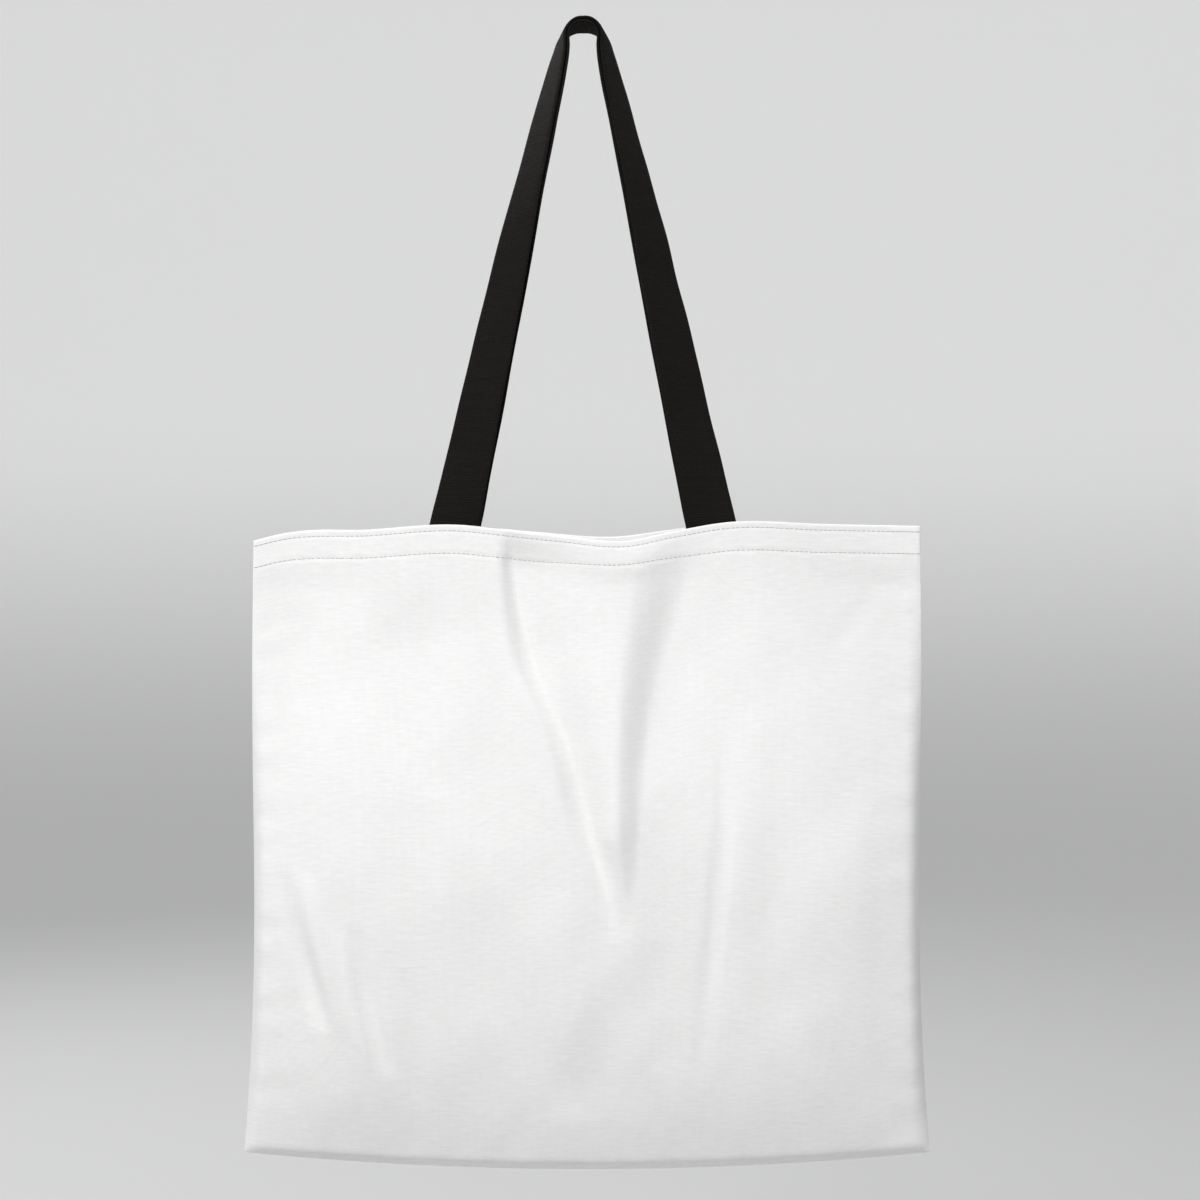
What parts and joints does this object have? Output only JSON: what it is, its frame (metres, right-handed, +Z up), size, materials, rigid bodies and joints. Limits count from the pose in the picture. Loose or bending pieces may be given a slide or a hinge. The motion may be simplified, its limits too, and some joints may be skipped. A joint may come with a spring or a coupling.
{
  "type": "tote bag",
  "caption": "Flat open-topped canvas tote bag hanging from a peg by two long webbing handles sewn inside its stitched hem.",
  "frame": {"origin": "top of the peg that the bag hangs from, under the middle of the inner handle's loop", "axes": "+Z up, +X to the right of someone facing the bag, +Y away from them, into the wall that the bag hangs on"},
  "size_m": [0.406, 0.0423, 0.684],
  "materials": {
    "canvas": "white plain-weave cotton canvas, matt",
    "webbing": "black woven cotton webbing with fine cross ribs, matt",
    "thread": "off-white sewing thread"
  },
  "bodies": {
    "bag": {"front_panel": "canvas", "back_panel": "canvas", "front_hem_turn": "canvas", "back_hem_turn": "canvas", "left_seam_allowance": "canvas", "right_seam_allowance": "canvas", "bottom_seam_allowance": "canvas", "front_edge_stitch": "thread", "front_hem_stitch": "thread", "front_edge_bobbin_thread": "thread", "front_hem_bobbin_thread": "thread", "back_edge_stitch": "thread", "back_hem_stitch": "thread", "back_edge_bobbin_thread": "thread", "back_hem_bobbin_thread": "thread", "left_seam_overlock": "thread", "right_seam_overlock": "thread", "bottom_seam_overlock": "thread", "front_handle_left_end": "webbing", "front_handle_right_end": "webbing", "back_handle_left_end": "webbing", "back_handle_right_end": "webbing"},
    "front_handle": {"front_handle": "webbing"},
    "back_handle": {"back_handle": "webbing"}
  },
  "joints": [
    {"name": "front_handle_swing", "type": "hinge", "parent": "bag", "child": "front_handle", "pos_m": [0, -0.0103, -0.2945], "axis": [1, 0, 0], "range_deg": [0, 160]},
    {"name": "back_handle_swing", "type": "hinge", "parent": "bag", "child": "back_handle", "pos_m": [0, 0.0103, -0.2945], "axis": [1, 0, 0], "range_deg": [-160, 0]}
  ]
}
